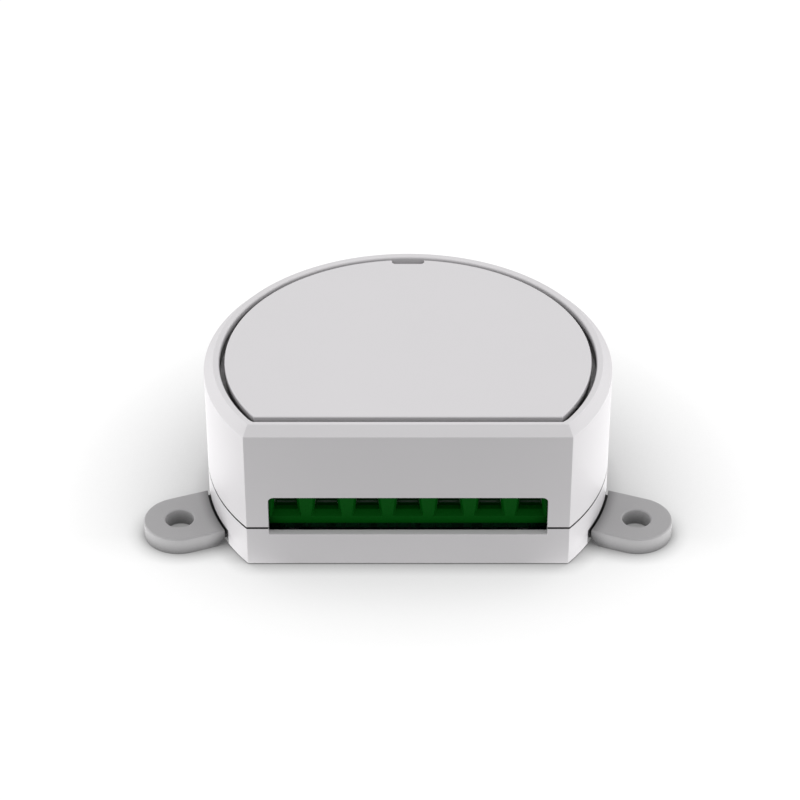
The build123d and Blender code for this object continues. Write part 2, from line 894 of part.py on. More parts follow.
def power_transistors():
    """Two flat power transistors side by side."""
    bodies = [chip(place, transistor_width, transistor_depth, transistor_height, board_top)
              for place in transistor_places]
    return Compound([body.solids()[0] for body in bodies])


def spreader_span():
    """The middle and the width of what lies across both transistors."""
    first, last = transistor_places[0], transistor_places[-1]
    middle = ((first[0] + last[0]) / 2, first[1])
    return middle, last[0] - first[0] + transistor_width


def thermal_pad():
    middle, width = spreader_span()
    low = board_top + transistor_height
    return block(width, transistor_depth, low, low + pad_thickness, middle)


def heat_spreader():
    """The finned aluminium bar over the transistors."""
    middle, width = spreader_span()
    low = board_top + transistor_height + pad_thickness
    high = low + spreader_thickness
    bar = block(width, transistor_depth, low, high, middle)
    pitch = width / fin_count
    for gap in range(1, fin_count):
        x = middle[0] - width / 2 + gap * pitch
        bar -= block(fin_gap, transistor_depth, high - fin_depth, high, (x, middle[1]))
    return bar


def on_main(place, width, depth, height):
    return chip(place, width, depth, height, board_top)


def build_nodes():
    """Every piece by its name."""
    nodes = {
        "upper_housing": upper_housing(),
        "base_shell": base_shell(),
        "lid": lid(),
        "ear_left": ear(-1),
        "ear_right": ear(1),
        "case_screws": case_screws(),
        "main_board": main_board(),
        "terminal_housing": terminal_housing(),
        "contact_strips": contact_strips(),
        "control_board": control_board(),
        "board_pillars": board_pillars(),
        "board_header": board_header(),
        "header_pins": header_pin_row(),
        "radio_board": radio_board(),
        "radio_shield": radio_shield(),
        "antenna": antenna(),
        "control_chip": chip(control_chip_place, control_chip_width, control_chip_width,
                             control_chip_height, control_top),
        "crystal": chip(crystal_place, crystal_length, crystal_width, crystal_height, control_top),
        "pairing_switch": pairing_switch(),
        "switch_plunger": switch_plunger(),
        "pairing_button": pairing_button(),
        "status_light": status_light(),
        "light_pipe": light_pipe(),
        "bulk_capacitors": bulk_capacitors(),
        "choke_core": choke_core(),
        "choke_winding": choke_winding(),
        "transformer_core": transformer_core(),
        "transformer_bobbin": transformer_bobbin(),
        "transformer_winding": transformer_winding(),
        "filter_capacitor": filter_capacitor(),
        "varistor": varistor(),
        "mains_fuse": mains_fuse(),
        "power_transistors": power_transistors(),
        "thermal_pad": thermal_pad(),
        "heat_spreader": heat_spreader(),
        "bridge_rectifier": on_main(bridge_place, bridge_width, bridge_depth, bridge_height),
        "converter_chip": on_main(converter_place, converter_width, converter_depth,
                                  converter_height),
        "optocoupler": on_main(optocoupler_place, optocoupler_width, optocoupler_depth,
                               optocoupler_height),
    }
    for number, x in enumerate(pole_places, start=1):
        nodes[f"terminal_screw_{number}"] = terminal_screw(x)
        nodes[f"wire_clamp_{number}"] = wire_clamp(x)
    return nodes


def main():
    os.makedirs("parts", exist_ok=True)
    for name, shape in build_nodes().items():
        export_step(shape, f"parts/{name}.step")
    print("screw turns over the clamp's travel:", round(clamp_travel / thread_pitch, 3))
    print("screws at y", round(screw_place_y, 3), "clamp floor", round(clamp_low, 3))


main()
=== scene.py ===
# %% [markdown]
# # A wireless dimmer module, dressed for its portrait
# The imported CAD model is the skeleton: it says where every piece is and which body it rides on.
# This script gives the skeleton its skin. Each step says what the real piece or finish is, how it
# could be made in Blender, and why it is made the way it is. All lengths are in metres, and a size
# that reads better in millimetres is written as a number times mm.

# %% Load the frame
import json
import math
import bmesh
import bpy
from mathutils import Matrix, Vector

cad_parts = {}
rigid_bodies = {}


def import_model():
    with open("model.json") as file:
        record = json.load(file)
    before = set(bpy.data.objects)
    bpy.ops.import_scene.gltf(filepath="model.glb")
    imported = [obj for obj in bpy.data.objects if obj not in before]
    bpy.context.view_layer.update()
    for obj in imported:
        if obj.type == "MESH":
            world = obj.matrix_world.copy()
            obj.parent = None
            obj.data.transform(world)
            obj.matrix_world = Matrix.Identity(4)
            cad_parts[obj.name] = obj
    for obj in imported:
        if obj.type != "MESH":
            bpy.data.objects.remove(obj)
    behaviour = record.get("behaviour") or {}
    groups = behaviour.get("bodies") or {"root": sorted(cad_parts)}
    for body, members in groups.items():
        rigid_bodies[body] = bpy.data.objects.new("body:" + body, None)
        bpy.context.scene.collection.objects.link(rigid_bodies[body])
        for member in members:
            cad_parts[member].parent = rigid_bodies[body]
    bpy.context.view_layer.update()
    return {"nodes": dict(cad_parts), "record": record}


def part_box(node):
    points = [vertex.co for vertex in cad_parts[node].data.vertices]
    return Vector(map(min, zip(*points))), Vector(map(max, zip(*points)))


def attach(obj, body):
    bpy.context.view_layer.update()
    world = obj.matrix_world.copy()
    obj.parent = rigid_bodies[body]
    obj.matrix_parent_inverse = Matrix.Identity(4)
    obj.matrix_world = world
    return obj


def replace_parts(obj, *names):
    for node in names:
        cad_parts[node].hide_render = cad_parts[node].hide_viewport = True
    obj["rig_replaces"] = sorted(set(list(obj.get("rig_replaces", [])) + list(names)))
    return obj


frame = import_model()
mm = 0.001
record = frame["record"]
slot_of_node = {row["node"]: row["material_slot"] for row in record["subparts"]}
body_of_node = {node: body for body, members in record["behaviour"]["bodies"].items()
                for node in members}

# %% [markdown]
# ## Small tools for node trees
# The floor, the finishes and the repeated pieces are all node trees. Adding nodes one property at
# a time makes long scripts, so one function adds a node, sets its properties and fills its inputs,
# either with a value or with the output of another node. The others are steps that come up often:
# arithmetic, a ramp, a darker tone, a mix and the share of hidden sky.

# %% Node helpers


def fill(node, inputs):
    """Fills a node's inputs with values or with the outputs of other nodes."""
    for label, value in inputs.items():
        if isinstance(value, bpy.types.NodeSocket):
            node.id_data.links.new(value, node.inputs[label])
        else:
            node.inputs[label].default_value = value
    return node


def put(tree, kind, inputs=None, **settings):
    """Adds a node with its properties set and its inputs filled."""
    node = tree.nodes.new(kind)
    for name, value in settings.items():
        setattr(node, name, value)
    return fill(node, inputs or {})


def maths(tree, operation, *values):
    """The result of one arithmetic step on numbers or outputs."""
    return put(tree, "ShaderNodeMath", dict(enumerate(values)), operation=operation).outputs[0]


def ramp(tree, value, start=0.0, full=1.0, low=0.0, high=1.0, **settings):
    """A value carried from one span to another, and held at both ends."""
    return put(tree, "ShaderNodeMapRange", {
        "Value": value, "From Min": start, "From Max": full, "To Min": low, "To Max": high},
        **settings).outputs[0]


def scaled(tree, colour, factor):
    """A colour made darker or lighter by a factor."""
    return put(tree, "ShaderNodeVectorMath", {0: colour, "Scale": factor},
               operation="SCALE").outputs[0]


def blended(tree, factor, first, second):
    """A mix of two plain colours."""
    return put(tree, "ShaderNodeMix", {"Factor": factor, 6: (*first, 1), 7: (*second, 1)},
               data_type="RGBA").outputs[2]


def hidden_sky(tree, reach, samples):
    """How much of the sky within reach is hidden from a point, from nought to one."""
    open_sky = put(tree, "ShaderNodeAmbientOcclusion", {"Distance": reach}, samples=samples)
    return maths(tree, "SUBTRACT", 1.0, open_sky.outputs["AO"])


# %% [markdown]
# ## The camera
# The photograph looks down on the flat front from about 35 degrees, with a long lens, so upright
# lines barely lean. The lens and its small shift were found by fitting the casing's corners.

# %% Camera
camera_distance = 0.34455
camera_elevation = math.radians(35.075)
focal_length = 123.15
film_width = 36
shift_across = -0.01004
shift_up = 0.0290
nearest_seen = 10 * mm
aim = Vector((0, 0, 10.12 * mm))

camera_data = bpy.data.cameras.new("camera")
camera_data.lens = focal_length
camera_data.sensor_width = film_width
camera_data.shift_x = shift_across
camera_data.shift_y = shift_up
camera_data.clip_start = nearest_seen
camera = bpy.data.objects.new("camera", camera_data)
bpy.context.scene.collection.objects.link(camera)
towards_camera = Vector((0, -math.cos(camera_elevation), math.sin(camera_elevation)))
camera.location = aim + camera_distance * towards_camera
camera.rotation_euler = (math.pi / 2 - camera_elevation, 0, 0)
bpy.context.scene.camera = camera
bpy.context.scene.view_settings.view_transform = "Standard"
print("camera at", [round(value, 4) for value in camera.location])

# %% [markdown]
# ## Light
# The module stands in a white tent. A soft dome fills every corner and a large lamp hangs above
# it. Two soft boxes and the bright card on either side graze the round walls, which is why these
# turn almost white at their edges while the flat front stays a quiet grey. The level is plain, so
# a colour renders about as it is written. The camera sees the tent as pure white, and polished
# metal mirrors it a little greyer.

# %% World and lamps
dome_strength = 0.48
tent_mirrored = 0.8
top_power = 0.98
top_size = (0.5, 0.4)
top_height = 0.42
side_power = 0.42
side_size = (0.3, 0.1)
side_reach = 0.38
side_back = 0.04
side_height = 0.055

world = bpy.data.worlds.new("white tent")
bpy.context.scene.world = world
world.use_nodes = True
sky = world.node_tree
sky.nodes.clear()
path = put(sky, "ShaderNodeLightPath").outputs
mirrored = maths(sky, "MAXIMUM", path["Is Glossy Ray"], path["Is Transmission Ray"])
strength = ramp(sky, mirrored, low=dome_strength, high=tent_mirrored)
strength = maths(sky, "MAXIMUM", strength, path["Is Camera Ray"])
tent = put(sky, "ShaderNodeBackground", {"Color": (1, 1, 1, 1), "Strength": strength})
put(sky, "ShaderNodeOutputWorld", {"Surface": tent.outputs[0]})


def soft_box(name, place, size, power):
    """A rectangular lamp that faces the module."""
    data = bpy.data.lights.new(name, "AREA")
    data.shape = "RECTANGLE"
    data.size, data.size_y = size
    data.energy = power
    lamp = bpy.data.objects.new(name, data)
    lamp.location = place
    lamp.rotation_euler = (aim - Vector(place)).to_track_quat("-Z", "Y").to_euler()
    bpy.context.scene.collection.objects.link(lamp)


soft_box("top lamp", (0, 0, top_height), top_size, top_power)
for side, name in ((-1, "left soft box"), (1, "right soft box")):
    soft_box(name, (side * side_reach, side_back, side_height), side_size, side_power)
print("dome", dome_strength, "top", top_power, "sides", side_power)

# %% [markdown]
# ## The floor
# A seamless white sweep. To the module it is a card that throws light up under the walls, most of
# it from the left and the right, where the tent's side lights fall on it. To the camera it is a
# white that only fades where something stands close: ambient occlusion, which asks how much of
# the sky a point sees, draws that soft halo and, with a short reach, the dark line at the foot.
# The halo is deeper beside the round walls. The card's own shading adds the lamps' shadows.

# %% Floor
floor_reach = 3.0
floor_drop = 0.02 * mm
halo_reach = 25 * mm
halo_samples = 24
halo_depth = 0.52
flank_halo_depth = 1.10
foot_reach = 2.5 * mm
foot_samples = 16
foot_depth = 1.0
flank_foot_depth = 0.65
least_light = 0.22
card_white = (0.15, 0.15, 0.15, 1)
near_glow = 0.62
far_glow = 0.28
near_reach = 20 * mm
far_reach = 80 * mm
side_glow = 0.95
side_start = 0.66
side_full = 0.86
flank_start = 13 * mm
flank_full = 25 * mm
flank_front = -16 * mm
flank_middle = -10 * mm
shown_white = (0.30, 0.30, 0.30, 1)
own_light = 0.78

floor_mesh = bpy.data.meshes.new("floor")
corners = [(-1, -1), (1, -1), (1, 1), (-1, 1)]
floor_mesh.from_pydata([(x * floor_reach, y * floor_reach, -floor_drop) for x, y in corners], [],
                       [(0, 1, 2, 3)])
floor = bpy.data.objects.new("floor", floor_mesh)
bpy.context.scene.collection.objects.link(floor)
card = bpy.data.materials.new("white card")
card.use_nodes = True
tree = card.node_tree
tree.nodes.clear()
path = put(tree, "ShaderNodeLightPath").outputs
place = put(tree, "ShaderNodeTexCoord").outputs["Object"]
radius = put(tree, "ShaderNodeVectorMath", {0: place}, operation="LENGTH").outputs["Value"]
parts = put(tree, "ShaderNodeSeparateXYZ", {0: place}).outputs
sideways = maths(tree, "ABSOLUTE", parts["X"])
beside = ramp(tree, maths(tree, "DIVIDE", sideways, radius), side_start, side_full)
flank = maths(tree, "MULTIPLY", ramp(tree, sideways, flank_start, flank_full),
              ramp(tree, parts["Y"], flank_front, flank_middle))
spread = ramp(tree, radius, near_reach, far_reach, near_glow, far_glow)
bounce = put(tree, "ShaderNodeBsdfDiffuse", {"Color": card_white})
lift = put(tree, "ShaderNodeEmission",
           {"Strength": maths(tree, "MULTIPLY_ADD", beside, side_glow, spread)})
lit = put(tree, "ShaderNodeAddShader", {0: bounce.outputs[0], 1: lift.outputs[0]})
shown = put(tree, "ShaderNodeBsdfDiffuse", {"Color": shown_white})
halo = maths(tree, "MULTIPLY_ADD", flank, halo_depth - flank_halo_depth, -halo_depth)
fade = maths(tree, "MULTIPLY_ADD", hidden_sky(tree, halo_reach, halo_samples), halo, own_light)
fade = maths(tree, "MAXIMUM", fade, least_light)
footing = maths(tree, "MULTIPLY_ADD", flank, foot_depth - flank_foot_depth, -foot_depth)
pressed = hidden_sky(tree, foot_reach, foot_samples)
dark_foot = maths(tree, "MULTIPLY_ADD", pressed, footing, 1.0)
glow = put(tree, "ShaderNodeEmission", {"Strength": maths(tree, "MULTIPLY", fade, dark_foot)})
both = put(tree, "ShaderNodeAddShader", {0: shown.outputs[0], 1: glow.outputs[0]})
pick = put(tree, "ShaderNodeMixShader", {0: path["Is Camera Ray"], 1: lit.outputs[0],
                                         2: both.outputs[0]})
put(tree, "ShaderNodeOutputMaterial", {"Surface": pick.outputs[0]})
card.cycles.emission_sampling = "NONE"
floor_mesh.materials.append(card)
print("floor laid at", -floor_drop)

# %% [markdown]
# ## Shared effects
# Three effects are wanted in several finishes, so each is a shader node group, built once and
# placed with its own values. The first is the fine grain that a spark-eroded mould leaves, with a
# slow drift of tone. The second paints light and shade at edges and joints: a painted highlight
# makes an edge a little lighter, and painted shade darkens a narrow joint that sees little sky.
# The third is the fine scratches of plated and turned metal.

# %% Group tools


def shader_group(name, inputs, outputs):
    """An empty shader node group with named sockets, and the outputs of its group input."""
    group = bpy.data.node_groups.new(name, "ShaderNodeTree")
    for label, kind, value in inputs:
        socket = group.interface.new_socket(label, in_out="INPUT", socket_type=f"NodeSocket{kind}")
        socket.default_value = value
    for label, kind in outputs:
        group.interface.new_socket(label, in_out="OUTPUT", socket_type=f"NodeSocket{kind}")
    return group, put(group, "NodeGroupInput").outputs


# %% Moulded grain
drift_scale = 90.0

grain, given = shader_group(
    "moulded grain",
    [("Colour", "Color", (0.7, 0.7, 0.7, 1)), ("Tone Drift", "Float", 0.03),
     ("Grain Size", "Float", 0.25 * mm), ("Roughness", "Float", 0.45),
     ("Roughness Drift", "Float", 0.08)],
    [("Colour", "Color"), ("Roughness", "Float"), ("Height", "Float")])
place = put(grain, "ShaderNodeTexCoord").outputs["Object"]
fine_scale = maths(grain, "DIVIDE", 1.0, given["Grain Size"])
fine = put(grain, "ShaderNodeTexNoise", {"Vector": place, "Scale": fine_scale, "Detail": 3.0})
slow = put(grain, "ShaderNodeTexNoise", {"Vector": place, "Scale": drift_scale, "Detail": 4.0})
swing = maths(grain, "SUBTRACT", slow.outputs["Fac"], 0.5)
tone = maths(grain, "MULTIPLY_ADD", swing, given["Tone Drift"], 1.0)
polish = maths(grain, "MULTIPLY_ADD", fine.outputs["Fac"], given["Roughness Drift"],
               given["Roughness"])
put(grain, "NodeGroupOutput", {"Colour": scaled(grain, given["Colour"], tone),
                               "Roughness": polish, "Height": fine.outputs["Fac"]})
print("group", grain.name, "has", len(grain.nodes), "nodes")

# %% Edges and joints
clear_edge = 0.85
edge_samples = 4
joint_samples = 16

painted_edges_and_joints, given = shader_group(
    "edges and joints",
    [("Colour", "Color", (0.7, 0.7, 0.7, 1)), ("Edge Width", "Float", 0.12 * mm),
     ("Edge Highlight", "Float", 0.06), ("Joint Reach", "Float", 2.5 * mm),
     ("Joint Shade", "Float", 0.97), ("Joint Start", "Float", 0.6),
     ("Joint Full", "Float", 0.95)],
    [("Colour", "Color")])
flat_normal = put(painted_edges_and_joints, "ShaderNodeNewGeometry").outputs["Normal"]
soft_normal = put(painted_edges_and_joints, "ShaderNodeBevel", {"Radius": given["Edge Width"]},
                  samples=edge_samples)
alike = put(painted_edges_and_joints, "ShaderNodeVectorMath", {0: flat_normal, 1: soft_normal.outputs[0]},
            operation="DOT_PRODUCT")
# Painted highlight: the colour is made lighter where the rounded normal turns away from the face's
# own.
edge = ramp(painted_edges_and_joints, alike.outputs["Value"], 1.0, clear_edge)
# Painted shade: the colour is made darker where little sky is open within the joint reach.
closed = hidden_sky(painted_edges_and_joints, given["Joint Reach"], joint_samples)
shade = ramp(painted_edges_and_joints, closed, given["Joint Start"], given["Joint Full"],
             high=given["Joint Shade"], interpolation_type="SMOOTHSTEP")
highlight_gain = maths(painted_edges_and_joints, "MULTIPLY_ADD", edge, given["Edge Highlight"], 1.0)
factor = maths(painted_edges_and_joints, "MULTIPLY", maths(painted_edges_and_joints, "SUBTRACT", 1.0, shade), highlight_gain)
put(painted_edges_and_joints, "NodeGroupOutput", {"Colour": scaled(painted_edges_and_joints, given["Colour"], factor)})
print("group", painted_edges_and_joints.name, "has", len(painted_edges_and_joints.nodes), "nodes")

# %% Fine scratches
scratched, given = shader_group(
    "fine scratches",
    [("Roughness", "Float", 0.3), ("Roughness Drift", "Float", 0.2), ("Length", "Float", 2 * mm),
     ("Width", "Float", 0.08 * mm)],
    [("Roughness", "Float"), ("Height", "Float")])
place = put(scratched, "ShaderNodeTexCoord").outputs["Object"]
along = maths(scratched, "DIVIDE", 1.0, given["Length"])
across = maths(scratched, "DIVIDE", 1.0, given["Width"])
stretch = put(scratched, "ShaderNodeCombineXYZ", {"X": along, "Y": across, "Z": across})
streaky = put(scratched, "ShaderNodeVectorMath", {0: place, 1: stretch.outputs[0]},
              operation="MULTIPLY")
streaks = put(scratched, "ShaderNodeTexNoise", {"Vector": streaky.outputs[0], "Scale": 1.0,
                                                "Detail": 2.0})
polish = maths(scratched, "MULTIPLY_ADD", streaks.outputs["Fac"], given["Roughness Drift"],
               given["Roughness"])
put(scratched, "NodeGroupOutput", {"Roughness": polish, "Height": streaks.outputs["Fac"]})
print("group", scratched.name, "has", len(scratched.nodes), "nodes")

# %% [markdown]
# ## Finishes
# Moulded plastics, rubbers and ceramics all have a grain, so one function makes them from the
# grain group and the edge group, with the bump depth in millimetres. Metals are made from the
# scratch group in the same way. What is the same all over a surface, such as a coat or how
# strongly it mirrors, is set on the shader itself.

# %% Moulded finishes
wall_turns = 0.6
top_turned = 0.95
grain_relief = 0.4


def shader_of(material):
    """The shader at the end of a material."""
    return material.node_tree.nodes["Principled BSDF"]


def new_finish(name):
    """A material, its tree and its shader."""
    material = bpy.data.materials.new(name)
    material.use_nodes = True
    return material, material.node_tree, shader_of(material)


def moulded_finish(name, colour, shaded_top_colour=None, roughness=0.45, size=0.25, drift=0.03,
                   rough_drift=0.08, depth=0.005, edge_highlight=0.06, joint_shade=0.97,
                   joint_reach=2.5, joint_start=0.6, joint_full=0.95, mirror=0.5):
    """A moulded material: grain size, bump depth and joint reach are in millimetres."""
    material, tree, shader = new_finish(name)
    tone = (*colour, 1)
    # A top colour paints shade: faces that look up get a darker tone than the walls.
    if shaded_top_colour:
        normal = put(tree, "ShaderNodeNewGeometry").outputs["Normal"]
        upward = put(tree, "ShaderNodeSeparateXYZ", {0: normal}).outputs["Z"]
        tone = blended(tree, ramp(tree, upward, wall_turns, top_turned), colour, shaded_top_colour)
    surface = put(tree, "ShaderNodeGroup", {
        "Colour": tone, "Tone Drift": drift, "Grain Size": size * mm, "Roughness": roughness,
        "Roughness Drift": rough_drift}, node_tree=grain).outputs
    painted_shading = put(tree, "ShaderNodeGroup", {
        "Colour": surface["Colour"], "Edge Highlight": edge_highlight, "Joint Shade": joint_shade,
        "Joint Reach": joint_reach * mm, "Joint Start": joint_start,
        "Joint Full": joint_full}, node_tree=painted_edges_and_joints)
    relief = put(tree, "ShaderNodeBump", {"Height": surface["Height"], "Strength": grain_relief,
                                          "Distance": depth * mm})
    fill(shader, {"Base Color": painted_shading.outputs["Colour"], "Roughness": surface["Roughness"],
                  "Normal": relief.outputs[0], "Specular IOR Level": mirror})
    return material


# Painted highlights lighten the casing's edges and painted shade darkens its narrow gaps, the lid
# gap most of all.
casing_plastic = moulded_finish("pale grey moulded plastic", (0.70, 0.685, 0.70), roughness=0.42,
                                edge_highlight=0.3, joint_reach=6, joint_start=0.77, joint_full=0.86)
# The ears get a darker grey than the casing and their tops a darker grey still: painted shade for
# the light that the body hides from them.
shaded_ear_plastic = moulded_finish("ear plastic with painted shade", (0.43, 0.425, 0.43), (0.38, 0.375, 0.38),
                             roughness=0.5, mirror=0.3, joint_reach=3, joint_start=0.1,
                             joint_full=0.70, joint_shade=0.97, edge_highlight=0.25)
# Painted shade darkens the green inside the wire entries.
terminal_green = moulded_finish("green terminal plastic", (0.001, 0.086, 0.005), roughness=0.45,
                                mirror=0.06, edge_highlight=0.0, joint_reach=3, joint_start=0.3,
                                joint_full=0.85, joint_shade=0.9)
black_mould = moulded_finish("black moulding compound", (0.018, 0.018, 0.019), roughness=0.5,
                             depth=0.01)
ferrite = moulded_finish("sintered ferrite", (0.045, 0.045, 0.05), roughness=0.6, depth=0.02)
tape = moulded_finish("yellow winding tape", (0.75, 0.55, 0.08), roughness=0.3, size=0.6)
film_box = moulded_finish("film capacitor box", (0.42, 0.06, 0.04), roughness=0.35)
ceramic = moulded_finish("blue coated ceramic", (0.05, 0.14, 0.42), roughness=0.28,
                         size=0.5)
thermal = moulded_finish("thermal rubber", (0.30, 0.33, 0.36), roughness=0.75, depth=0.02)
button_white = moulded_finish("white button plastic", (0.80, 0.80, 0.80), roughness=0.3)
light_body = moulded_finish("light diode body", (0.85, 0.84, 0.74), roughness=0.3)
clear = moulded_finish("clear light pipe", (0.90, 0.93, 0.95), roughness=0.06, drift=0.0,
                       edge_highlight=0.0, joint_shade=0.0)
fill(shader_of(clear), {"Transmission Weight": 0.9, "IOR": 1.49})
print(len(bpy.data.materials), "materials so far")

# %% [markdown]
# ### Painted shade in the tight joints
# Two joints of the casing are too narrow for the occlusion to find every time: the parting line,
# a fifth of a millimetre high, and the gap at the root of each ear. Their place is known, so a
# mask made from the object's own coordinates paints shade into them.

# %% Tight joints
seam_low = 5.43 * mm
seam_high = 5.73 * mm
painted_shade_tone = 0.12
root_low = 0.15 * mm
root_high = 2.25 * mm
root_radius = 24.2 * mm
root_depth = 0.2 * mm
top_skin = 0.05 * mm
ear_top = [vertex.co for vertex in frame["nodes"]["ear_left"].data.vertices
           if vertex.co.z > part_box("ear_left")[1].z - top_skin]
nearest = min(point.xy.length for point in ear_top)
root_y = [point.y for point in ear_top if point.xy.length < nearest + root_depth]
print("ear root from y", round(min(root_y) / mm, 2), "to", round(max(root_y) / mm, 2), "mm")

tree = casing_plastic.node_tree
base_colour = shader_of(casing_plastic).inputs["Base Color"]
place = put(tree, "ShaderNodeTexCoord").outputs["Object"]
parts = put(tree, "ShaderNodeSeparateXYZ", {0: place}).outputs
outward = put(tree, "ShaderNodeVectorMath", {0: place, 1: (1, 1, 0)}, operation="MULTIPLY")
radius = put(tree, "ShaderNodeVectorMath", {0: outward.outputs[0]}, operation="LENGTH")


def inside_limits(value, low, high):
    """One where a value lies between two limits, and nought elsewhere."""
    return maths(tree, "MULTIPLY", maths(tree, "GREATER_THAN", value, low),
                 maths(tree, "LESS_THAN", value, high))


# Painted shade: inside the parting line and at each ear root the casing's colour drops to a tenth.
in_seam = inside_limits(parts["Z"], seam_low, seam_high)
at_root = maths(tree, "MULTIPLY", inside_limits(parts["Z"], root_low, root_high),
                inside_limits(parts["Y"], min(root_y) - root_depth, max(root_y) + root_depth))
at_root = maths(tree, "MULTIPLY", at_root,
                maths(tree, "GREATER_THAN", radius.outputs["Value"], root_radius))
painted_shade_mask = maths(tree, "MAXIMUM", in_seam, at_root)
shaded_colour = scaled(tree, base_colour.links[0].from_socket,
                maths(tree, "MULTIPLY_ADD", painted_shade_mask, painted_shade_tone - 1, 1.0))
tree.links.new(shaded_colour, base_colour)
print("painted shade in the parting line from", seam_low, "to", seam_high)

# %% [markdown]
# ### Metals
# A metal mirrors what is round it, blurred by fine scratches. Deep in the wire entries little
# light reaches, so the green plastic and the steel clamps get a very faint green glow: painted
# light that stands in for what the green walls throw back. Without it the entries go black.

# %% Metal finishes
painted_glow_colour = (0.0, 1.0, 0.05, 1)
painted_glow_strength = 0.0055
scratch_relief = 0.3


def metal_finish(name, colour, roughness, rough_drift=0.15, length=2.0, width=0.08, depth=0.002,
                 joint_shade=0.9, joint_reach=2.5, joint_start=0.45):
    """A metal with fine scratches: their length, width and depth are in millimetres."""
    material, tree, shader = new_finish(name)
    marks = put(tree, "ShaderNodeGroup", {
        "Roughness": roughness, "Roughness Drift": rough_drift, "Length": length * mm,
        "Width": width * mm}, node_tree=scratched).outputs
    painted_shading = put(tree, "ShaderNodeGroup", {
        "Colour": (*colour, 1), "Joint Shade": joint_shade, "Joint Reach": joint_reach * mm,
        "Joint Start": joint_start}, node_tree=painted_edges_and_joints)
    relief = put(tree, "ShaderNodeBump", {"Height": marks["Height"], "Strength": scratch_relief,
                                          "Distance": depth * mm})
    fill(shader, {"Base Color": painted_shading.outputs["Colour"], "Roughness": marks["Roughness"],
                  "Normal": relief.outputs[0], "Metallic": 1.0})
    return material


zinc = metal_finish("zinc plated steel", (0.55, 0.57, 0.60), 0.32)
# Painted shade takes the clamps' colour almost to black deep in their chambers.
cage_steel = metal_finish("clamp cage steel", (0.50, 0.51, 0.53), 0.38, joint_shade=0.99,
                          joint_reach=6, joint_start=0.2)
tinned = metal_finish("tinned brass", (0.72, 0.68, 0.55), 0.25)
aluminium = metal_finish("bare aluminium", (0.78, 0.79, 0.80), 0.30)
copper = metal_finish("enamelled copper wire", (0.62, 0.22, 0.08), 0.22, length=0.6)
fill(shader_of(copper), {"Coat Weight": 0.5})
# Painted light: the green plastic and the clamps glow faintly green.
for material in (terminal_green, cage_steel):
    fill(shader_of(material), {"Emission Color": painted_glow_colour, "Emission Strength": painted_glow_strength})
print(len(bpy.data.materials), "materials so far")

# %% [markdown]
# ### Solder mask
# A circuit board is copper under a skin of green lacquer. The tracks show as slightly raised and
# paler bands. A Voronoi pattern measured in city blocks has straight borders that turn only by 45
# and 90 degrees, as tracks do, so the difference between its two nearest cells draws them.

# %% Board finish
track_pitch = 1.6 * mm
track_edge = 0.10
track_full = 0.16
track_height = 0.03 * mm
track_relief = 0.5
board_joint_reach = 4 * mm
lacquer_tone = (0.006, 0.055, 0.022)
track_tone = (0.012, 0.12, 0.045)
lacquer_roughness = 0.34
track_roughness = 0.26

solder_mask, tree, shader = new_finish("green solder mask")
place = put(tree, "ShaderNodeTexCoord").outputs["Object"]
distances = []
for feature in ("F1", "F2"):
    cells = put(tree, "ShaderNodeTexVoronoi", {"Vector": place, "Scale": 1 / track_pitch},
                feature=feature, distance="MANHATTAN", voronoi_dimensions="2D")
    distances.append(cells.outputs["Distance"])
between = maths(tree, "SUBTRACT", distances[1], distances[0])
raised = ramp(tree, between, track_edge, track_full)
# Painted shade darkens the lacquer where other parts stand close, as at the board's front edge.
painted_shading = put(tree, "ShaderNodeGroup", {
    "Colour": blended(tree, raised, lacquer_tone, track_tone),
    "Joint Reach": board_joint_reach}, node_tree=painted_edges_and_joints)
relief = put(tree, "ShaderNodeBump", {"Height": raised, "Strength": track_relief,
                                      "Distance": track_height})
fill(shader, {"Base Color": painted_shading.outputs["Colour"], "Normal": relief.outputs[0],
              "Roughness": ramp(tree, raised, low=lacquer_roughness, high=track_roughness)})
print("tracks every", track_pitch, "m")

finish_of_slot = {
    "casing": casing_plastic, "terminal_green": terminal_green, "zinc_steel": zinc,
    "tinned_brass": tinned, "circuit_board": solder_mask, "black_moulding": black_mould,
    "ferrite": ferrite, "copper_wire": copper, "winding_tape": tape, "film_box": film_box,
    "ceramic": ceramic, "aluminium": aluminium, "thermal_rubber": thermal,
    "button_white": button_white, "clear_plastic": clear, "light_white": light_body,
}

# %% [markdown]
# ## Tools for carrying pieces over
# The moulded shells are already the right shape in the CAD model, so a copy of each is taken, its
# loose triangles are merged, and its sharp edges get the tiny radius that every mould leaves. That
# radius is what draws the thin bright lines along the real casing. The CAD mesh itself is left
# alone. A finished piece is handed over by saying which body it rides on and which nodes it
# stands for.

# %% Piece helpers
merge_reach = 0.002 * mm
flat_enough = math.radians(0.4)
sharp_angle = 28


def measured(node):
    """A node's box: its low corner, its high corner and the middle of its foot."""
    low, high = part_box(node)
    middle = (low + high) / 2
    return low, high, (middle.x, middle.y, low.z)


def middle_of(points):
    """The middle of the box round some points."""
    return [(min(values) + max(values)) / 2 for values in zip(*points)]


def blank(name):
    """A new object with an empty mesh, at the origin."""
    piece = bpy.data.objects.new(name, bpy.data.meshes.new(name))
    bpy.context.scene.collection.objects.link(piece)
    return piece


def merged_copy(node, name, join_flats=True):
    """A merged copy of a CAD node, with its flat areas joined up again."""
    piece = blank(name)
    work = bmesh.new()
    work.from_mesh(frame["nodes"][node].data)
    bmesh.ops.remove_doubles(work, verts=work.verts, dist=merge_reach)
    if join_flats:
        bmesh.ops.dissolve_limit(work, angle_limit=flat_enough, verts=work.verts,
                                 edges=work.edges)
    work.to_mesh(piece.data)
    work.free()
    return piece


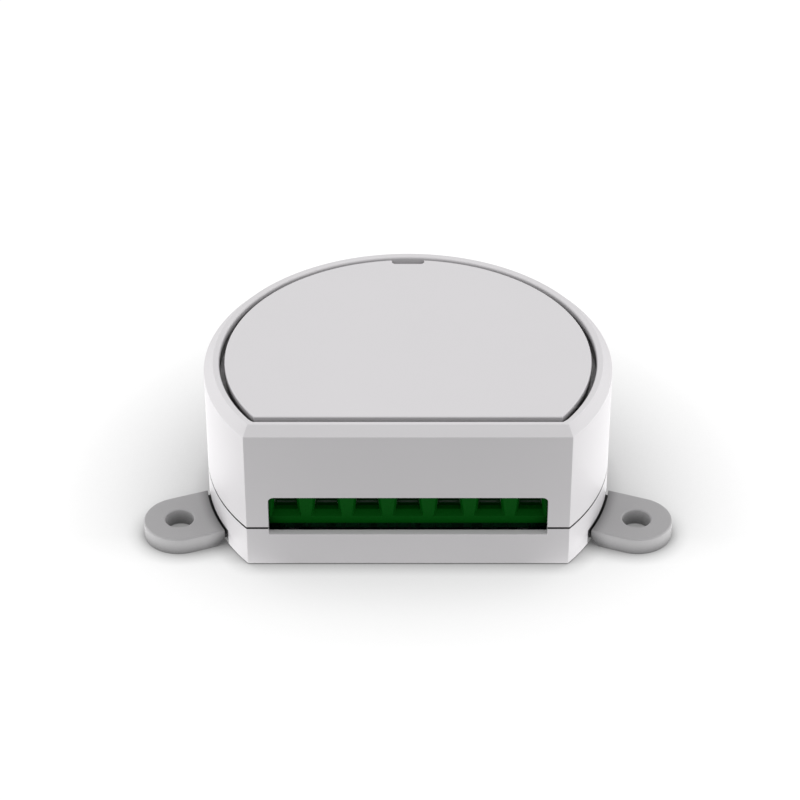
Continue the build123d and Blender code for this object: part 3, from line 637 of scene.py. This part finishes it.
def settle(piece):
    """Turns a piece's evaluated modifiers into a plain mesh."""
    bpy.context.view_layer.update()
    graph = bpy.context.evaluated_depsgraph_get()
    mesh = bpy.data.meshes.new_from_object(piece.evaluated_get(graph))
    piece.modifiers.clear()
    piece.data = mesh
    return piece


def smooth(piece, angle=sharp_angle):
    """Smooth shading, with sharp edges only where the surface turns by more than an angle."""
    piece.data.shade_smooth()
    piece.data.set_sharp_from_angle(angle=math.radians(angle))


def round_edges(piece, radius, steps=3):
    """Gives the sharp edges a small radius, in millimetres, that shades smoothly."""
    smooth(piece)
    bevel = piece.modifiers.new("edges", "BEVEL")
    bevel.limit_method = "ANGLE"
    bevel.angle_limit = math.radians(sharp_angle)
    bevel.width = radius * mm
    bevel.segments = steps
    bevel.use_clamp_overlap = False
    bevel.harden_normals = True
    return settle(piece)


def paint(piece, material):
    """Gives a piece one finish."""
    piece.data.materials.clear()
    piece.data.materials.append(material)


def hand_over(piece, body, slot, *nodes):
    """Gives a finished piece its body and the nodes that it stands for. The slot is not used."""
    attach(piece, body)
    if nodes:
        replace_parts(piece, *nodes)
    print(f"{piece.name}: {len(piece.data.polygons)} faces, rides on {body}")


# %% [markdown]
# ## The casing, the lid and the ears
# Pale grey ABS, moulded in a fine-textured tool. The upper half ends in a shallow step that leaves
# a dark parting line above the lower half, darkened further by painted shade, and the lid lies
# flush in the rim with an even gap. The ring round the lid falls away softly on its inner side, so
# that edge is rounded further than the rest. The ears are separate mouldings that clip into the
# lower half. They are given a darker grey than the casing, and their top faces a darker grey
# still:
# painted shade for the light that the tall body hides from them.

# %% Softened rim
rim_radius = 0.35 * mm
rim_steps = 4
rim_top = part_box("upper_housing")[1].z
rim_inner = 24.0 * mm


def soften_rim(piece):
    """Rounds the inner edge of the top ring, all but its straight front."""
    work = bmesh.new()
    work.from_mesh(piece.data)
    inner = [vertex for vertex in work.verts
             if vertex.co.z > rim_top - merge_reach and vertex.co.xy.length < rim_inner]
    front = min(vertex.co.y for vertex in inner)
    loop = [edge for edge in work.edges
            if all(vertex in inner for vertex in edge.verts) and edge.calc_face_angle(0) > 1
            and max(vertex.co.y for vertex in edge.verts) > front + merge_reach]
    bmesh.ops.bevel(work, geom=loop, offset=rim_radius, segments=rim_steps, profile=0.5,
                    affect="EDGES", clamp_overlap=False)
    work.to_mesh(piece.data)
    work.free()
    print("rim softened along", len(loop), "edges")


# %% Moulded shells
shell_radius = {"upper_housing": 0.06, "base_shell": 0.06, "lid": 0.08, "ear_left": 0.06,
                "ear_right": 0.06}
for node, radius in shell_radius.items():
    piece = merged_copy(node, f"{node}_moulded")
    if node == "upper_housing":
        soften_rim(piece)
    paint(piece, shaded_ear_plastic if node.startswith("ear") else casing_plastic)
    round_edges(piece, radius)
    hand_over(piece, body_of_node[node], "casing", node)

# %% [markdown]
# ## Geometry Nodes for what repeats
# The seven poles, their screws and clamps, the turns of wire, the solder joints and the chip legs
# all repeat by a rule, so each is a Geometry Nodes tree with named sizes. A tree takes the piece's
# own mesh as its start, adds what it grows, makes the instances real and sets the finish. The
# modifier's inputs are set by their identifiers, and the result is kept as a plain mesh.

# %% Tree helpers


def growing_tree(name, sizes):
    """A Geometry Nodes tree with a geometry, named sizes and a material coming in."""
    tree = bpy.data.node_groups.new(name, "GeometryNodeTree")
    tree.interface.new_socket("Geometry", in_out="INPUT", socket_type="NodeSocketGeometry")
    for label, kind, value in sizes:
        socket = tree.interface.new_socket(label, in_out="INPUT", socket_type=f"NodeSocket{kind}")
        socket.default_value = value
    tree.interface.new_socket("Finish", in_out="INPUT", socket_type="NodeSocketMaterial")
    tree.interface.new_socket("Geometry", in_out="OUTPUT", socket_type="NodeSocketGeometry")
    return tree, put(tree, "NodeGroupInput").outputs


def moved(tree, geometry, by=(0, 0, 0), turn=(0, 0, 0)):
    """A geometry turned and then moved."""
    return put(tree, "GeometryNodeTransform", {"Geometry": geometry, "Translation": by,
                                               "Rotation": turn}).outputs[0]


def vector(tree, x=0.0, y=0.0, z=0.0):
    """A vector put together from numbers or outputs."""
    return put(tree, "ShaderNodeCombineXYZ", {"X": x, "Y": y, "Z": z}).outputs[0]


def joined(tree, *geometries):
    """Several geometries as one."""
    node = put(tree, "GeometryNodeJoinGeometry")
    for geometry in geometries:
        tree.links.new(geometry, node.inputs[0])
    return node.outputs[0]


def swept(tree, curve, section):
    """A closed tube along a curve, with its section kept upright."""
    upright = put(tree, "GeometryNodeSetCurveNormal", {"Curve": curve}, mode="Z_UP")
    return put(tree, "GeometryNodeCurveToMesh", {"Curve": upright.outputs[0],
                                                 "Profile Curve": section,
                                                 "Fill Caps": True}).outputs[0]


def half_back(tree, count, pitch):
    """Where a centred row starts: half its length back."""
    length = maths(tree, "MULTIPLY", maths(tree, "SUBTRACT", count, 1), pitch)
    return maths(tree, "MULTIPLY", length, -0.5)


def row_of(tree, thing, count, first, step):
    """Copies of a thing on a line of points."""
    line = put(tree, "GeometryNodeMeshLine", {"Count": count, "Start Location": first,
                                              "Offset": step})
    return put(tree, "GeometryNodeInstanceOnPoints", {"Points": line.outputs[0],
                                                      "Instance": thing}).outputs[0]


def end_tree(tree, geometry, finish):
    """Ends a tree: the instances become real and get the finish."""
    real = put(tree, "GeometryNodeRealizeInstances", {"Geometry": geometry}).outputs[0]
    dressed = put(tree, "GeometryNodeSetMaterial", {"Geometry": real, "Material": finish})
    put(tree, "NodeGroupOutput", {"Geometry": dressed.outputs[0]})


def grow(piece, tree, finish, sizes):
    """Runs a tree on a piece and keeps the result as a plain mesh."""
    modifier = piece.modifiers.new(tree.name, "NODES")
    modifier.node_group = tree
    wanted = {"Finish": finish, **sizes}
    for item in tree.interface.items_tree:
        if item.in_out == "INPUT" and item.name in wanted:
            modifier[item.identifier] = wanted[item.name]
    return settle(piece)


# %% [markdown]
# ## The terminal block
# The green block is seven equal poles in a row, each with a flared wire entry, a chamber for its
# clamp and a well for its screw. It could be carried over whole. It is grown instead from one
# pole: the middle one is sliced out of the CAD block, a line of seven points sets it down at the
# terminal pitch, and merging the touching rims makes one body again.

# %% Row of poles
poles, given = growing_tree("row of poles", [("Count", "Int", 7), ("Pitch", "Float", 5 * mm),
                                             ("Merge Reach", "Float", 0.005 * mm)])
first = vector(poles, half_back(poles, given["Count"], given["Pitch"]))
row = row_of(poles, given["Geometry"], given["Count"], first, vector(poles, given["Pitch"]))
real = put(poles, "GeometryNodeRealizeInstances", {"Geometry": row})
whole = put(poles, "GeometryNodeMergeByDistance", {"Geometry": real.outputs[0],
                                                   "Distance": given["Merge Reach"]})
end_tree(poles, whole.outputs[0], given["Finish"])
print("tree", poles.name, "has", len(poles.nodes), "nodes")

# %% One pole, seven times
pole_count = 7
block_edge = 0.08
block_low, block_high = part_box("terminal_housing")
pole_pitch = (block_high.x - block_low.x) / pole_count


def sliced(piece, point, outward, close):
    """Cuts a piece at a plane and drops the outward side, with the cut open or closed."""
    work = bmesh.new()
    work.from_mesh(piece.data)
    everything = work.verts[:] + work.edges[:] + work.faces[:]
    bmesh.ops.bisect_plane(work, geom=everything, dist=merge_reach, plane_co=point,
                           plane_no=outward, clear_outer=True)
    if close:
        rim = [edge for edge in work.edges if edge.is_boundary]
        bmesh.ops.holes_fill(work, edges=rim)
    work.to_mesh(piece.data)
    work.free()


block = merged_copy("terminal_housing", "terminal_block", join_flats=False)
for side in (-1, 1):
    sliced(block, (side * pole_pitch / 2, 0, 0), (side, 0, 0), close=False)
grow(block, poles, terminal_green, {"Count": pole_count, "Pitch": pole_pitch})
work = bmesh.new()
work.from_mesh(block.data)
bmesh.ops.holes_fill(work, edges=[edge for edge in work.edges if edge.is_boundary])
bmesh.ops.dissolve_limit(work, angle_limit=flat_enough, verts=work.verts, edges=work.edges)
still_open = sum(edge.is_boundary for edge in work.edges)
work.to_mesh(block.data)
work.free()
paint(block, terminal_green)
round_edges(block, block_edge)
hand_over(block, "casing", "terminal_green", "terminal_housing")
print("pole pitch", round(pole_pitch / mm, 3), "mm, open edges", still_open)

# %% [markdown]
# ## Screws
# A screw is a head, a core and a thread that winds round it. The head comes from the CAD node,
# slot and all, with its edges rounded. The thread is a spiral with a diamond section swept along
# it, which is what Curve to Mesh is for, and a plain cylinder makes the core. The same tree makes
# the seven clamping screws and the two case screws, only the sizes differ.

# %% Threaded shank
thread_start = 0.75
thread_left_out = 1.5

shank, given = growing_tree("threaded shank", [
    ("Foot", "Vector", (0, 0, 0)), ("Length", "Float", 4 * mm), ("Core Radius", "Float", 1 * mm),
    ("Thread Depth", "Float", 0.2 * mm), ("Pitch", "Float", 0.45 * mm)])
core = put(shank, "GeometryNodeMeshCylinder", {"Vertices": 40, "Radius": given["Core Radius"],
                                               "Depth": given["Length"]}).outputs[0]
core = moved(shank, core, vector(shank, z=maths(shank, "MULTIPLY", given["Length"], 0.5)))
climb = maths(shank, "MULTIPLY_ADD", given["Pitch"], -thread_left_out, given["Length"])
spiral = put(shank, "GeometryNodeCurveSpiral", {
    "Resolution": 20, "Rotations": maths(shank, "DIVIDE", climb, given["Pitch"]),
    "Start Radius": given["Core Radius"], "End Radius": given["Core Radius"], "Height": climb})
section = put(shank, "GeometryNodeCurvePrimitiveCircle", {"Resolution": 4,
                                                          "Radius": given["Thread Depth"]})
thread = swept(shank, spiral.outputs[0], section.outputs[0])
lifted = maths(shank, "MULTIPLY", given["Pitch"], thread_start)
thread = moved(shank, thread, vector(shank, z=lifted))
below = moved(shank, joined(shank, core, thread), given["Foot"])
end_tree(shank, joined(shank, given["Geometry"], below), given["Finish"])
print("tree", shank.name, "has", len(shank.nodes), "nodes")

# %% Clamping screws
clamp_head_height = 1.6 * mm
clamp_thread_depth = 0.2 * mm
clamp_thread_pitch = 0.45 * mm
shank_radius = 1.25 * mm
head_overlap = 0.05 * mm
head_edge = 0.1
thread_angle = 35

for pole in range(1, pole_count + 1):
    node = f"terminal_screw_{pole}"
    low, high, foot = measured(node)
    under_head = high.z - clamp_head_height + head_overlap
    screw = merged_copy(node, f"clamping_screw_{pole}")
    sliced(screw, (0, 0, under_head), (0, 0, -1), close=True)
    round_edges(screw, head_edge)
    grow(screw, shank, zinc, {
        "Foot": foot, "Length": under_head + head_overlap - low.z,
        "Core Radius": shank_radius - clamp_thread_depth, "Thread Depth": clamp_thread_depth,
        "Pitch": clamp_thread_pitch})
    paint(screw, zinc)
    smooth(screw, thread_angle)
    hand_over(screw, body_of_node[node], "zinc_steel", node)

# %% Case screws
case_head_height = 1.3 * mm
case_shank_radius = 1.0 * mm
case_thread_depth = 0.28 * mm
case_thread_pitch = 0.9 * mm

low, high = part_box("case_screws")
over_head = low.z + case_head_height - head_overlap
screw_points = [vertex.co for vertex in frame["nodes"]["case_screws"].data.vertices]
case_screws = merged_copy("case_screws", "case_screws_threaded")
sliced(case_screws, (0, 0, over_head), (0, 0, 1), close=True)
round_edges(case_screws, head_edge)
for side in (-1, 1):
    x, y = middle_of([point for point in screw_points if point.x * side > 0])[:2]
    grow(case_screws, shank, zinc, {
        "Foot": (x, y, over_head - head_overlap), "Length": high.z - over_head + head_overlap,
        "Core Radius": case_shank_radius - case_thread_depth, "Thread Depth": case_thread_depth,
        "Pitch": case_thread_pitch})
paint(case_screws, zinc)
smooth(case_screws, thread_angle)
hand_over(case_screws, "casing", "zinc_steel", "case_screws")

# %% [markdown]
# ## Rising clamps
# Each screw draws up a small steel cage that presses the wire against the contact strip. The cage
# is a bent and stamped strip, so its edges are round and its floor has pressed teeth that bite the
# wire. The teeth are a line of points with a small square bar on each, turned by 45 degrees.

# %% Pressed teeth
teeth, given = growing_tree("pressed teeth", [
    ("Count", "Int", 4), ("Spacing", "Float", 0.8 * mm), ("Width", "Float", 2.4 * mm),
    ("Tooth", "Float", 0.28 * mm), ("Centre", "Vector", (0, 0, 0))])
bar = put(teeth, "GeometryNodeMeshCube", {"Size": vector(teeth, given["Width"], given["Tooth"],
                                                         given["Tooth"])}).outputs[0]
bar = moved(teeth, bar, turn=(math.radians(45), 0, 0))
first = vector(teeth, y=half_back(teeth, given["Count"], given["Spacing"]))
bars = row_of(teeth, bar, given["Count"], first, vector(teeth, y=given["Spacing"]))
placed = moved(teeth, bars, given["Centre"])
end_tree(teeth, joined(teeth, given["Geometry"], placed), given["Finish"])
print("tree", teeth.name, "has", len(teeth.nodes), "nodes")

# %% Clamps
clamp_floor = 0.7 * mm
clamp_side = 0.35 * mm
clamp_edge = 0.09
for pole in range(1, pole_count + 1):
    node = f"wire_clamp_{pole}"
    low, high, foot = measured(node)
    clamp = round_edges(merged_copy(node, f"rising_clamp_{pole}"), clamp_edge)
    grow(clamp, teeth, cage_steel, {"Width": high.x - low.x - 2 * clamp_side,
                                    "Centre": (*foot[:2], low.z + clamp_floor)})
    paint(clamp, cage_steel)
    hand_over(clamp, body_of_node[node], "zinc_steel", node)

# %% [markdown]
# ## The choke's winding
# Enamelled copper wire wound on a ferrite drum in two layers. A spiral follows the drum, and a
# round section swept along it is the wire. The second layer lies in the grooves of the first.

# %% Wound wire
turn_spacing = 2.06
layer_rise = 1.75
drum_radius = 1.63 * mm
wire_angle = 50

wound, given = growing_tree("wound wire", [
    ("Foot", "Vector", (0, 0, 0)), ("Height", "Float", 5 * mm),
    ("Inner Radius", "Float", 1.6 * mm), ("Wire Radius", "Float", 0.27 * mm)])
wire_width = maths(wound, "MULTIPLY", given["Wire Radius"], turn_spacing)
climb = maths(wound, "SUBTRACT", given["Height"], wire_width)
section = put(wound, "GeometryNodeCurvePrimitiveCircle", {"Resolution": 10,
                                                          "Radius": given["Wire Radius"]})
layers = []
for layer in range(2):
    ring = maths(wound, "MULTIPLY_ADD", given["Wire Radius"], 1 + layer_rise * layer,
                 given["Inner Radius"])
    height = maths(wound, "MULTIPLY_ADD", wire_width, -layer, climb)
    turns = maths(wound, "DIVIDE", height, wire_width)
    spiral = put(wound, "GeometryNodeCurveSpiral", {
        "Resolution": 28, "Rotations": turns, "Start Radius": ring, "End Radius": ring,
        "Height": height})
    tube = swept(wound, spiral.outputs[0], section.outputs[0])
    start = maths(wound, "MULTIPLY", wire_width, (1 + layer) / 2)
    layers.append(moved(wound, tube, vector(wound, z=start)))
coil = moved(wound, joined(wound, *layers), given["Foot"])
end_tree(wound, joined(wound, given["Geometry"], coil), given["Finish"])

low, high, foot = measured("choke_winding")
winding = grow(blank("choke_turns"), wound, copper, {
    "Foot": foot, "Height": high.z - low.z, "Inner Radius": drum_radius})
paint(winding, copper)
smooth(winding, wire_angle)
hand_over(winding, "casing", "copper_wire", "choke_winding")

# %% [markdown]
# ## Chip legs
# A chip stands on gull-wing legs: each leaves the body level, bends down and ends in a flat foot.
# One Bezier segment with level handles is that line, and a small rectangle swept along it is the
# leg. A line of points sets out one side, a half turn gives the other, and the row is then turned
# and moved to the chip.

# %% Row of legs
level_handle = 0.75
foot_handle = 0.15

legs, given = growing_tree("row of legs", [
    ("Count", "Int", 4), ("Pitch", "Float", 1.27 * mm), ("Leg Width", "Float", 0.4 * mm),
    ("Leg Thickness", "Float", 0.15 * mm), ("Reach", "Float", 0.8 * mm),
    ("Drop", "Float", 0.7 * mm), ("Half Body", "Float", 1.8 * mm), ("Turn", "Float", 0.0),
    ("Foot", "Vector", (0, 0, 0))])
sole = maths(legs, "MULTIPLY", given["Leg Thickness"], 0.5)
bend = put(legs, "GeometryNodeCurvePrimitiveBezierSegment", {
    "Resolution": 10,
    "Start": vector(legs, z=given["Drop"]),
    "Start Handle": vector(legs, maths(legs, "MULTIPLY", given["Reach"], level_handle),
                           z=given["Drop"]),
    "End Handle": vector(legs, maths(legs, "MULTIPLY", given["Reach"], foot_handle), z=sole),
    "End": vector(legs, given["Reach"], z=sole)})
section = put(legs, "GeometryNodeCurvePrimitiveQuadrilateral", {
    "Width": given["Leg Width"], "Height": given["Leg Thickness"]})
leg = swept(legs, bend.outputs[0], section.outputs[0])
first = vector(legs, given["Half Body"], half_back(legs, given["Count"], given["Pitch"]))
side = row_of(legs, leg, given["Count"], first, vector(legs, y=given["Pitch"]))
both = joined(legs, side, moved(legs, side, turn=(0, 0, math.pi)))
turned = moved(legs, both, turn=vector(legs, z=given["Turn"]))
placed = moved(legs, turned, given["Foot"])
end_tree(legs, joined(legs, given["Geometry"], placed), given["Finish"])
print("tree", legs.name, "has", len(legs.nodes), "nodes")

# %% Legs of each chip
# For each row: the axis that its legs point along, their count on one side, pitch and width.
leg_rows = {
    "control_chip": [("x", 8, 0.5, 0.22), ("y", 8, 0.5, 0.22)],
    "converter_chip": [("y", 4, 1.27, 0.42)],
    "optocoupler": [("y", 2, 2.54, 0.6)],
    "bridge_rectifier": [("x", 2, 3.0, 0.8)],
}
body_bite = 0.1 * mm
drop_share = 0.45
leg_angle = 40
for node, rows in leg_rows.items():
    low, high, foot = measured(node)
    piece = blank(f"{node}_legs")
    for axis, count, pitch, width in rows:
        across = (high - low)[0 if axis == "x" else 1]
        grow(piece, legs, tinned, {
            "Count": count, "Pitch": pitch * mm, "Leg Width": width * mm,
            "Drop": (high.z - low.z) * drop_share, "Half Body": across / 2 - body_bite,
            "Turn": 0.0 if axis == "x" else math.pi / 2, "Foot": foot})
    paint(piece, tinned)
    smooth(piece, leg_angle)
    hand_over(piece, "casing", "tinned_brass")

# %% [markdown]
# ## Solder joints
# Where a pin comes through a board, solder draws up round it in a small cone. A line of points
# with a low cone on each makes a row of them, and a half turn hangs the row under the board.

# %% Row of joints
solder, given = growing_tree("solder joints", [
    ("Count", "Int", 5), ("First", "Vector", (0, 0, 0)), ("Step", "Vector", (0, 1.27 * mm, 0)),
    ("Foot Radius", "Float", 0.5 * mm), ("Tip Radius", "Float", 0.35 * mm),
    ("Height", "Float", 0.6 * mm), ("Turn", "Float", 0.0)])
cone = put(solder, "GeometryNodeMeshCone", {
    "Vertices": 20, "Side Segments": 1, "Radius Top": given["Tip Radius"],
    "Radius Bottom": given["Foot Radius"], "Depth": given["Height"]}).outputs[0]
cone = moved(solder, cone, turn=vector(solder, given["Turn"]))
row = row_of(solder, cone, given["Count"], given["First"], given["Step"])
end_tree(solder, joined(solder, given["Geometry"], row), given["Finish"])
print("tree", solder.name, "has", len(solder.nodes), "nodes")

# %% Joints of the header and the contact strips
header_count = 5
pin_foot = 0.52 * mm
pin_tip = 0.36 * mm
pin_end = 0.1 * mm
strip_foot = 1.1 * mm
strip_tip = 0.7 * mm
cone_angle = 50
pin_low, pin_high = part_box("header_pins")
half_pin = (pin_high.x - pin_low.x) / 2
pin_step = (pin_high.y - pin_low.y - 2 * half_pin) / (header_count - 1)
pin_place = (pin_low.x + half_pin, pin_low.y + half_pin)
control_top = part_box("control_board")[1].z
main_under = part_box("main_board")[0].z
strip_points = [vertex.co for vertex in frame["nodes"]["contact_strips"].data.vertices]
strip_low = min(point.z for point in strip_points)
strip_ends = [point for point in strip_points if point.z < strip_low + pin_end]
strip_x, strip_y = middle_of(strip_ends)[:2]
first_x = strip_x - (pole_count - 1) / 2 * pole_pitch

solder_joints = blank("solder_joints")
for place, turn in ((control_top, 0.0), (main_under, math.pi)):
    grow(solder_joints, solder, tinned, {
        "Count": header_count, "First": (*pin_place, place), "Step": (0, pin_step, 0),
        "Foot Radius": pin_foot, "Tip Radius": pin_tip, "Turn": turn})
grow(solder_joints, solder, tinned, {
    "Count": pole_count, "First": (first_x, strip_y, main_under), "Step": (pole_pitch, 0, 0),
    "Foot Radius": strip_foot, "Tip Radius": strip_tip, "Turn": math.pi})
paint(solder_joints, tinned)
smooth(solder_joints, cone_angle)
hand_over(solder_joints, "casing", "tinned_brass")
print("header pins every", round(pin_step / mm, 3), "mm; contact pins at y", strip_y / mm)

# %% [markdown]
# ## Everything else the casing holds
# The boards and their parts are hidden until the casing is opened, but each keeps its true form:
# a merged copy with slightly rounded edges and smooth curves. A loop does it, with the radius
# chosen by what the part is made of.

# %% Inner parts
# The radius of the edges, in millimetres.
edge_by_slot = {"circuit_board": 0.04, "black_moulding": 0.08, "ferrite": 0.1, "film_box": 0.15,
                "ceramic": 0.1, "aluminium": 0.1, "tinned_brass": 0.04, "zinc_steel": 0.06,
                "winding_tape": 0.15, "thermal_rubber": 0.05, "button_white": 0.08,
                "light_white": 0.05, "clear_plastic": 0.05}
done = {node for thing in bpy.data.objects for node in thing.get("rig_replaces", [])}
for node, slot in slot_of_node.items():
    if node in done:
        continue
    piece = merged_copy(node, f"{node}_finished")
    paint(piece, finish_of_slot[slot])
    round_edges(piece, edge_by_slot[slot], steps=2)
    hand_over(piece, body_of_node[node], slot, node)

# %% Finishes of the CAD nodes
for node, thing in frame["nodes"].items():
    paint(thing, finish_of_slot[slot_of_node[node]])
print("finishes given to", len(frame["nodes"]), "CAD nodes")
